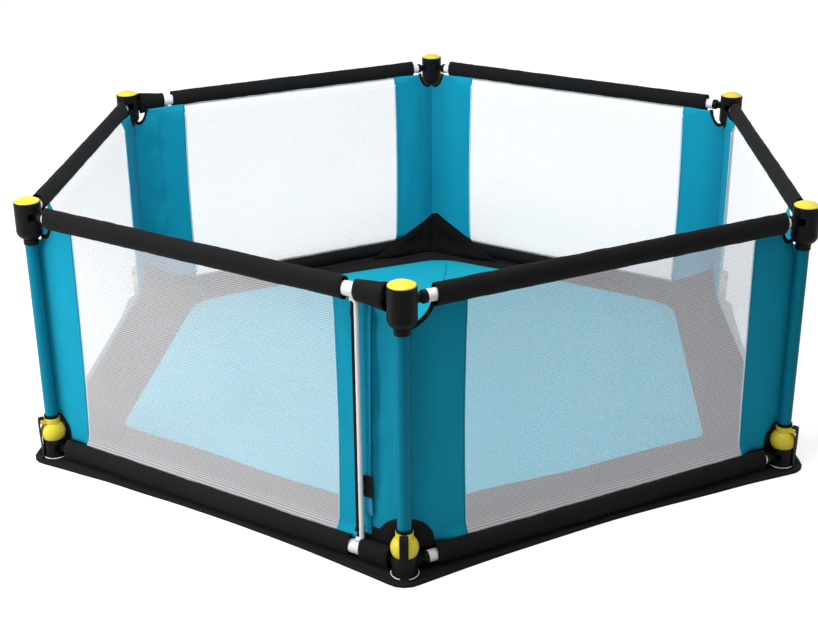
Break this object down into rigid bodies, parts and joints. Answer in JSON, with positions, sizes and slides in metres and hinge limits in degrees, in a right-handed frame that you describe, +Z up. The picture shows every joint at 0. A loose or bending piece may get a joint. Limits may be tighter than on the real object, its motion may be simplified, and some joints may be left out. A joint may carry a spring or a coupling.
{
  "type": "travel play yard",
  "caption": "Six-sided folding play yard: upright steel posts, swivel hubs, rails in sewn sleeves, see-through mesh walls and a strapped-on padded floor mat.",
  "frame": {"origin": "on the floor at the centre of the yard", "axes": "+Z up; -Y towards the corner that carries the gate; the corners lie on -Y, +Y and 30 degrees either side of X"},
  "size_m": [1.7568, 2.014, 0.628],
  "materials": {
    "post_paint": "gloss teal powder coat",
    "rail_paint": "gloss white powder coat",
    "black_plastic": "black moulded plastic, satin",
    "yellow_plastic": "yellow moulded plastic",
    "black_webbing": "black elastic webbing",
    "black_cloth": "black woven polyester",
    "wall_mesh": "white see-through mesh between strips of teal cloth",
    "mat_cloth_black": "black woven polyester over thin padding",
    "mat_cloth_teal": "teal woven polyester over thin padding"
  },
  "bodies": {
    "post_0": {"corner_0_post": "post_paint", "corner_0_hubs": "black_plastic", "corner_0_bulb": "yellow_plastic", "corner_0_strap": "black_webbing", "mat_base": "mat_cloth_black", "mat_pad": "mat_cloth_teal"},
    "post_1": {"corner_1_post": "post_paint", "corner_1_hubs": "black_plastic", "corner_1_bulb": "yellow_plastic", "corner_1_strap": "black_webbing"},
    "post_2": {"corner_2_post": "post_paint", "corner_2_hubs": "black_plastic", "corner_2_bulb": "yellow_plastic", "corner_2_strap": "black_webbing"},
    "post_3": {"corner_3_post": "post_paint", "corner_3_hubs": "black_plastic", "corner_3_bulb": "yellow_plastic", "corner_3_strap": "black_webbing"},
    "post_4": {"corner_4_post": "post_paint", "corner_4_hubs": "black_plastic", "corner_4_bulb": "yellow_plastic", "corner_4_strap": "black_webbing"},
    "post_5": {"corner_5_post": "post_paint", "corner_5_hubs": "black_plastic", "corner_5_bulb": "yellow_plastic", "corner_5_strap": "black_webbing"},
    "wall_0": {"wall_0_rails": "rail_paint", "wall_0_arms": "black_plastic", "wall_0_sleeves": "black_cloth", "wall_0_cloth": "wall_mesh"},
    "wall_1": {"wall_1_rails": "rail_paint", "wall_1_arms": "black_plastic", "wall_1_sleeves": "black_cloth", "wall_1_cloth": "wall_mesh"},
    "wall_2": {"wall_2_rails": "rail_paint", "wall_2_arms": "black_plastic", "wall_2_sleeves": "black_cloth", "wall_2_cloth": "wall_mesh"},
    "wall_3": {"wall_3_rails": "rail_paint", "wall_3_arms": "black_plastic", "wall_3_sleeves": "black_cloth", "wall_3_cloth": "wall_mesh", "gate_3_rod": "rail_paint"},
    "wall_4": {"wall_4_rails": "rail_paint", "wall_4_arms": "black_plastic", "wall_4_sleeves": "black_cloth", "wall_4_cloth": "wall_mesh"},
    "wall_5": {"wall_5_rails": "rail_paint", "wall_5_arms": "black_plastic", "wall_5_sleeves": "black_cloth", "wall_5_cloth": "wall_mesh", "gate_5_rod": "rail_paint"},
    "button_0": {"corner_0_button": "yellow_plastic"},
    "button_1": {"corner_1_button": "yellow_plastic"},
    "button_2": {"corner_2_button": "yellow_plastic"},
    "button_3": {"corner_3_button": "yellow_plastic"},
    "button_4": {"corner_4_button": "yellow_plastic"},
    "button_5": {"corner_5_button": "yellow_plastic"},
    "zip_slider_3": {"gate_3_zip_slider": "black_plastic"},
    "zip_slider_5": {"gate_5_zip_slider": "black_plastic"}
  },
  "joints": [
    {"name": "fold", "type": "hinge", "parent": "post_0", "child": "wall_0", "pos_m": [0.01386, -0.952, 0.3], "axis": [0, 0, 1], "range_deg": [0, 54]},
    {"name": "wall_0_post_1", "type": "hinge", "parent": "wall_0", "child": "post_1", "pos_m": [0.81753, -0.488, 0.3], "axis": [0, 0, 1], "range_deg": [-54, 0]},
    {"name": "post_1_wall_1", "type": "hinge", "parent": "post_1", "child": "wall_1", "pos_m": [0.83138, -0.464, 0.3], "axis": [0, 0, 1], "range_deg": [-54, 0]},
    {"name": "wall_1_post_2", "type": "hinge", "parent": "wall_1", "child": "post_2", "pos_m": [0.83138, 0.464, 0.3], "axis": [0, 0, 1], "range_deg": [0, 54]},
    {"name": "post_2_wall_2", "type": "hinge", "parent": "post_2", "child": "wall_2", "pos_m": [0.81753, 0.488, 0.3], "axis": [0, 0, 1], "range_deg": [0, 54]},
    {"name": "wall_2_post_3", "type": "hinge", "parent": "wall_2", "child": "post_3", "pos_m": [0.01386, 0.952, 0.3], "axis": [0, 0, 1], "range_deg": [-54, 0]},
    {"name": "post_0_wall_5", "type": "hinge", "parent": "post_0", "child": "wall_5", "pos_m": [-0.01386, -0.952, 0.3], "axis": [0, 0, 1], "range_deg": [-54, 0]},
    {"name": "wall_5_post_5", "type": "hinge", "parent": "wall_5", "child": "post_5", "pos_m": [-0.81753, -0.488, 0.3], "axis": [0, 0, 1], "range_deg": [0, 54]},
    {"name": "post_5_wall_4", "type": "hinge", "parent": "post_5", "child": "wall_4", "pos_m": [-0.83138, -0.464, 0.3], "axis": [0, 0, 1], "range_deg": [0, 54]},
    {"name": "wall_4_post_4", "type": "hinge", "parent": "wall_4", "child": "post_4", "pos_m": [-0.83138, 0.464, 0.3], "axis": [0, 0, 1], "range_deg": [-54, 0]},
    {"name": "post_4_wall_3", "type": "hinge", "parent": "post_4", "child": "wall_3", "pos_m": [-0.81753, 0.488, 0.3], "axis": [0, 0, 1], "range_deg": [-54, 0]},
    {"name": "button_0_press", "type": "slide", "parent": "post_0", "child": "button_0", "axis": [0, 0, -1], "range_m": [0, 0.005], "stiffness_N_per_m": 600, "springref_m": -0.012},
    {"name": "button_1_press", "type": "slide", "parent": "post_1", "child": "button_1", "axis": [0, 0, -1], "range_m": [0, 0.005], "stiffness_N_per_m": 600, "springref_m": -0.012},
    {"name": "button_2_press", "type": "slide", "parent": "post_2", "child": "button_2", "axis": [0, 0, -1], "range_m": [0, 0.005], "stiffness_N_per_m": 600, "springref_m": -0.012},
    {"name": "button_3_press", "type": "slide", "parent": "post_3", "child": "button_3", "axis": [0, 0, -1], "range_m": [0, 0.005], "stiffness_N_per_m": 600, "springref_m": -0.012},
    {"name": "button_4_press", "type": "slide", "parent": "post_4", "child": "button_4", "axis": [0, 0, -1], "range_m": [0, 0.005], "stiffness_N_per_m": 600, "springref_m": -0.012},
    {"name": "button_5_press", "type": "slide", "parent": "post_5", "child": "button_5", "axis": [0, 0, -1], "range_m": [0, 0.005], "stiffness_N_per_m": 600, "springref_m": -0.012},
    {"name": "zip_3_slide", "type": "slide", "parent": "wall_3", "child": "zip_slider_3", "axis": [0, 0, -1], "range_m": [0, 0.46]},
    {"name": "zip_5_slide", "type": "slide", "parent": "wall_5", "child": "zip_slider_5", "axis": [0, 0, -1], "range_m": [0, 0.46]}
  ],
  "couplings": [
    {"joint": "wall_0_post_1", "follows": "fold", "ratio": -1},
    {"joint": "post_1_wall_1", "follows": "fold", "ratio": -1},
    {"joint": "wall_1_post_2", "follows": "fold", "ratio": 1},
    {"joint": "post_2_wall_2", "follows": "fold", "ratio": 1},
    {"joint": "wall_2_post_3", "follows": "fold", "ratio": -1},
    {"joint": "post_0_wall_5", "follows": "fold", "ratio": -1},
    {"joint": "wall_5_post_5", "follows": "fold", "ratio": 1},
    {"joint": "post_5_wall_4", "follows": "fold", "ratio": 1},
    {"joint": "wall_4_post_4", "follows": "fold", "ratio": -1},
    {"joint": "post_4_wall_3", "follows": "fold", "ratio": -1}
  ]
}
